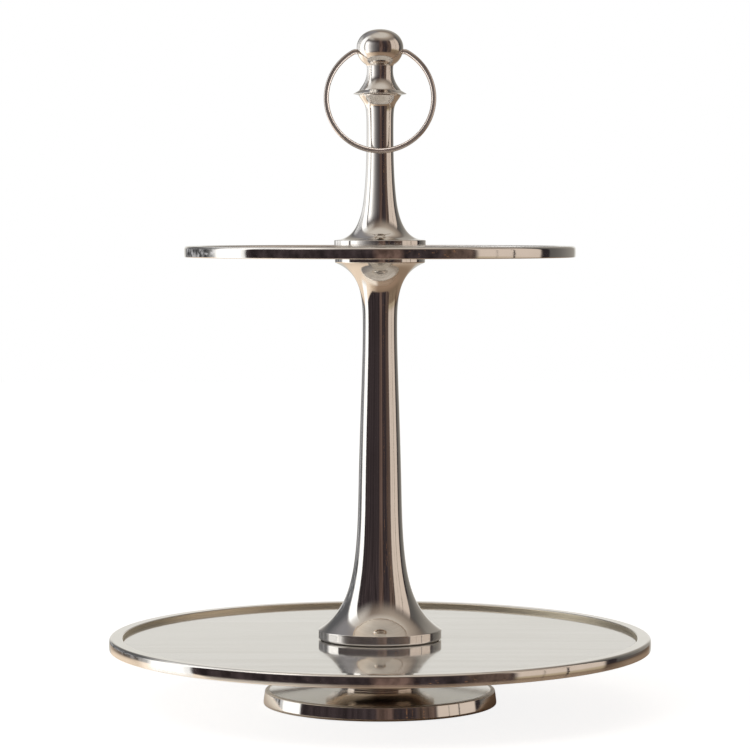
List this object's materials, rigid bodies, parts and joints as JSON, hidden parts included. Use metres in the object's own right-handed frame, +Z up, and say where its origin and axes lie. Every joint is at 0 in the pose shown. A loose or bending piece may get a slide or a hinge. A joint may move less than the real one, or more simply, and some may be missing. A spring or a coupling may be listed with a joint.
{
  "type": "cake stand",
  "caption": "Tiered polished metal cake stand: round rimmed trays stacked on trumpet-flared columns over a disc foot, with a ball finial that carries a swinging ring handle.",
  "frame": {"origin": "centre of the foot's underside on the stand's axis, level with the felt that meets the table", "axes": "+Z up the stand's axis; X along the ring's pivot; -Y is the front, the side the hanging ring leans to"},
  "size_m": [0.356, 0.356, 0.4429],
  "materials": {
    "nickel_cast": "polished",
    "nickel_sheet": "polished",
    "nickel_wire": "polished",
    "zinc_steel": "satin",
    "bush_metal": "satin",
    "gasket": "matte",
    "felt": "matte"
  },
  "bodies": {
    "stand": {"foot_disc": "nickel_cast", "foot_felt": "felt", "foot_washer": "zinc_steel", "foot_nut": "zinc_steel", "tie_rod": "zinc_steel", "pedestal_spool": "nickel_cast", "pedestal_gasket": "gasket", "lower_tray_rim": "nickel_cast", "lower_tray_floor": "nickel_sheet", "column_base_gasket": "gasket", "lower_column": "nickel_cast", "column_base_bush": "bush_metal", "column_top_bush": "bush_metal", "column_top_gasket": "gasket", "upper_tray_rim": "nickel_cast", "upper_tray_floor": "nickel_sheet", "stem_base_gasket": "gasket", "upper_stem": "nickel_cast", "stem_base_bush": "bush_metal", "finial_collar": "nickel_cast", "finial": "nickel_cast"},
    "ring": {"ring_handle": "nickel_wire"}
  },
  "joints": [
    {"name": "ring_swing", "type": "hinge", "parent": "stand", "child": "ring", "pos_m": [0, 0, 0.4283], "axis": [-1, 0, 0], "range_deg": [0, 340.8]}
  ]
}
